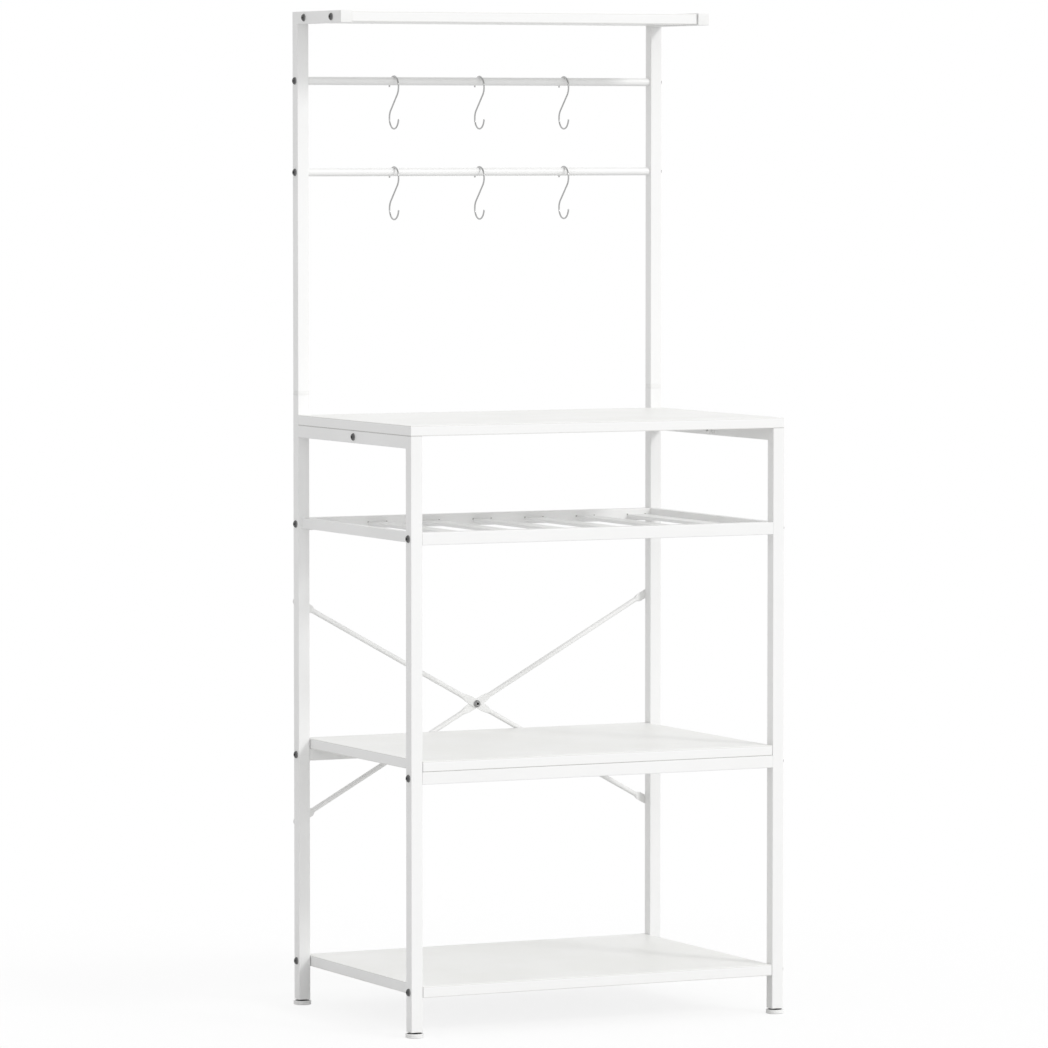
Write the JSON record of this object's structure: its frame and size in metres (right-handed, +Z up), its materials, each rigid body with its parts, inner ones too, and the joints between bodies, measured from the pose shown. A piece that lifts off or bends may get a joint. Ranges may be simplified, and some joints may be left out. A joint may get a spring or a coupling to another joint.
{
  "type": "kitchen shelving rack",
  "caption": "White tube-and-board kitchen rack with open shelves, a counter, a slat rack, hook bars with swinging hooks, a crossed back brace and levelling feet.",
  "frame": {"origin": "on the floor, under the middle of the whole rack's outline, feet and brace included", "axes": "+Z up, +X to the right as seen from the front, the front faces -Y"},
  "size_m": [0.608, 0.4248, 1.464],
  "materials": {
    "white_powder_coat": "satin white powder coat on steel tube",
    "white_board": "matt white melamine on particle board, edges banded",
    "white_plastic": "moulded white plastic",
    "dark_bolt": "dark zinc-plated steel",
    "bright_bolt": "zinc-plated steel",
    "zinc_steel": "zinc-plated steel",
    "hook_steel": "polished bent steel wire"
  },
  "bodies": {
    "rack_frame": {"bar_end_inserts": "zinc_steel", "board_inserts": "zinc_steel", "bottom_shelf_board": "white_board", "brace_cross_bolt": "bright_bolt", "brace_cross_nut": "bright_bolt", "brace_end_screws": "dark_bolt", "brace_rising_left": "white_powder_coat", "brace_rising_right": "white_powder_coat", "counter_board": "white_board", "counter_bracket_bolts": "dark_bolt", "counter_bracket_nuts": "white_powder_coat", "counter_bracket_screws": "zinc_steel", "frame_bolts": "dark_bolt", "left_arm_cap": "white_plastic", "left_counter_bracket": "white_powder_coat", "left_front_leg": "white_powder_coat", "left_post_connector": "white_plastic", "left_rack_rung": "white_powder_coat", "left_rear_leg": "white_powder_coat", "left_top_arm": "white_powder_coat", "left_top_rail": "white_powder_coat", "left_upper_post": "white_powder_coat", "leg_plugs": "white_plastic", "lower_hook_bar": "white_powder_coat", "middle_shelf_board": "white_board", "middle_shelf_front_rail": "white_powder_coat", "middle_shelf_rear_rail": "white_powder_coat", "middle_shelf_screws": "zinc_steel", "rack_front_rail": "white_powder_coat", "rack_rear_rail": "white_powder_coat", "rack_slat_1": "white_powder_coat", "rack_slat_2": "white_powder_coat", "rack_slat_3": "white_powder_coat", "rack_slat_4": "white_powder_coat", "rack_slat_5": "white_powder_coat", "rack_slat_6": "white_powder_coat", "rack_slat_7": "white_powder_coat", "rail_end_inserts": "zinc_steel", "right_arm_cap": "white_plastic", "right_counter_bracket": "white_powder_coat", "right_front_leg": "white_powder_coat", "right_post_connector": "white_plastic", "right_rack_rung": "white_powder_coat", "right_rear_leg": "white_powder_coat", "right_top_arm": "white_powder_coat", "right_top_rail": "white_powder_coat", "right_upper_post": "white_powder_coat", "top_shelf_board": "white_board", "upper_hook_bar": "white_powder_coat"},
    "lower_hook_1": {"lower_hook_1": "hook_steel"},
    "lower_hook_2": {"lower_hook_2": "hook_steel"},
    "lower_hook_3": {"lower_hook_3": "hook_steel"},
    "upper_hook_1": {"upper_hook_1": "hook_steel"},
    "upper_hook_2": {"upper_hook_2": "hook_steel"},
    "upper_hook_3": {"upper_hook_3": "hook_steel"},
    "left_front_foot": {"left_front_foot": "white_plastic"},
    "left_rear_foot": {"left_rear_foot": "white_plastic"},
    "right_front_foot": {"right_front_foot": "white_plastic"},
    "right_rear_foot": {"right_rear_foot": "white_plastic"}
  },
  "joints": [
    {"name": "lower_hook_1_swing", "type": "hinge", "parent": "rack_frame", "child": "lower_hook_1", "pos_m": [-0.14, 0.1926, 1.229], "axis": [1, 0, 0], "range_deg": [-75, 75]},
    {"name": "lower_hook_2_swing", "type": "hinge", "parent": "rack_frame", "child": "lower_hook_2", "pos_m": [0, 0.1926, 1.229], "axis": [1, 0, 0], "range_deg": [-75, 75]},
    {"name": "lower_hook_3_swing", "type": "hinge", "parent": "rack_frame", "child": "lower_hook_3", "pos_m": [0.14, 0.1926, 1.229], "axis": [1, 0, 0], "range_deg": [-75, 75]},
    {"name": "upper_hook_1_swing", "type": "hinge", "parent": "rack_frame", "child": "upper_hook_1", "pos_m": [-0.14, 0.1926, 1.363], "axis": [1, 0, 0], "range_deg": [-75, 75]},
    {"name": "upper_hook_2_swing", "type": "hinge", "parent": "rack_frame", "child": "upper_hook_2", "pos_m": [0, 0.1926, 1.363], "axis": [1, 0, 0], "range_deg": [-75, 75]},
    {"name": "upper_hook_3_swing", "type": "hinge", "parent": "rack_frame", "child": "upper_hook_3", "pos_m": [0.14, 0.1926, 1.363], "axis": [1, 0, 0], "range_deg": [-75, 75]},
    {"name": "left_front_foot_level", "type": "slide", "parent": "rack_frame", "child": "left_front_foot", "axis": [0, 0, 1], "range_m": [-0.008, 0.0015]},
    {"name": "left_rear_foot_level", "type": "slide", "parent": "rack_frame", "child": "left_rear_foot", "axis": [0, 0, 1], "range_m": [-0.008, 0.0015]},
    {"name": "right_front_foot_level", "type": "slide", "parent": "rack_frame", "child": "right_front_foot", "axis": [0, 0, 1], "range_m": [-0.008, 0.0015]},
    {"name": "right_rear_foot_level", "type": "slide", "parent": "rack_frame", "child": "right_rear_foot", "axis": [0, 0, 1], "range_m": [-0.008, 0.0015]}
  ]
}
